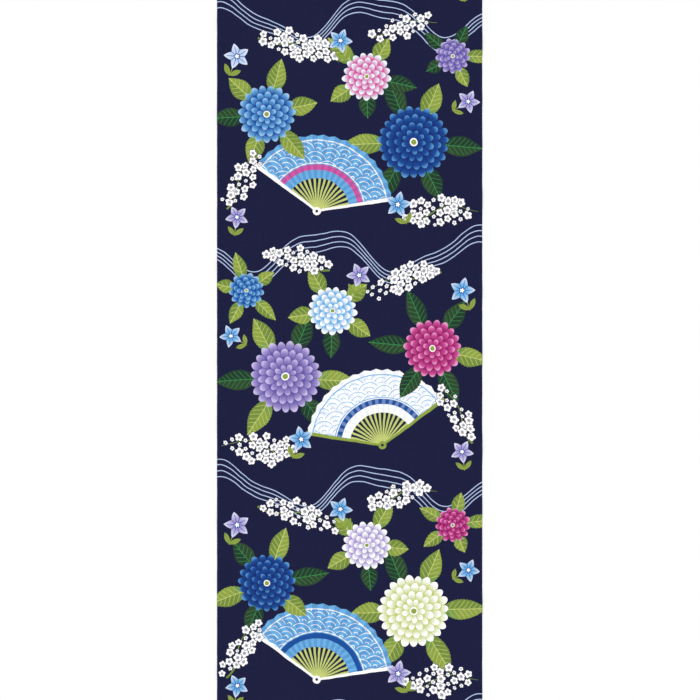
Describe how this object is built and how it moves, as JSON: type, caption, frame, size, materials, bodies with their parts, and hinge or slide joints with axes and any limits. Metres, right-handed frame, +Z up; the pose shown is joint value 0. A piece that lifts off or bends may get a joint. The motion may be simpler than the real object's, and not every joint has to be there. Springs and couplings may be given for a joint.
{
  "type": "tenugui towel",
  "caption": "Flat rectangle of thin plain-weave cotton, printed on one face, with selvedge sides and cut ends, laid out flat.",
  "frame": {"origin": "middle of the cloth's underside, on the surface that it lies on", "axes": "+Z up from the surface to the printed face, +Y along the length towards the top end of the print, +X across the width"},
  "size_m": [0.34, 0.9, 0.001],
  "materials": {
    "printed_cotton": "matt plain-weave cotton, printed in navy, white, blues, pinks and greens"
  },
  "bodies": {
    "root": {"towel_cloth": "printed_cotton"}
  },
  "joints": []
}
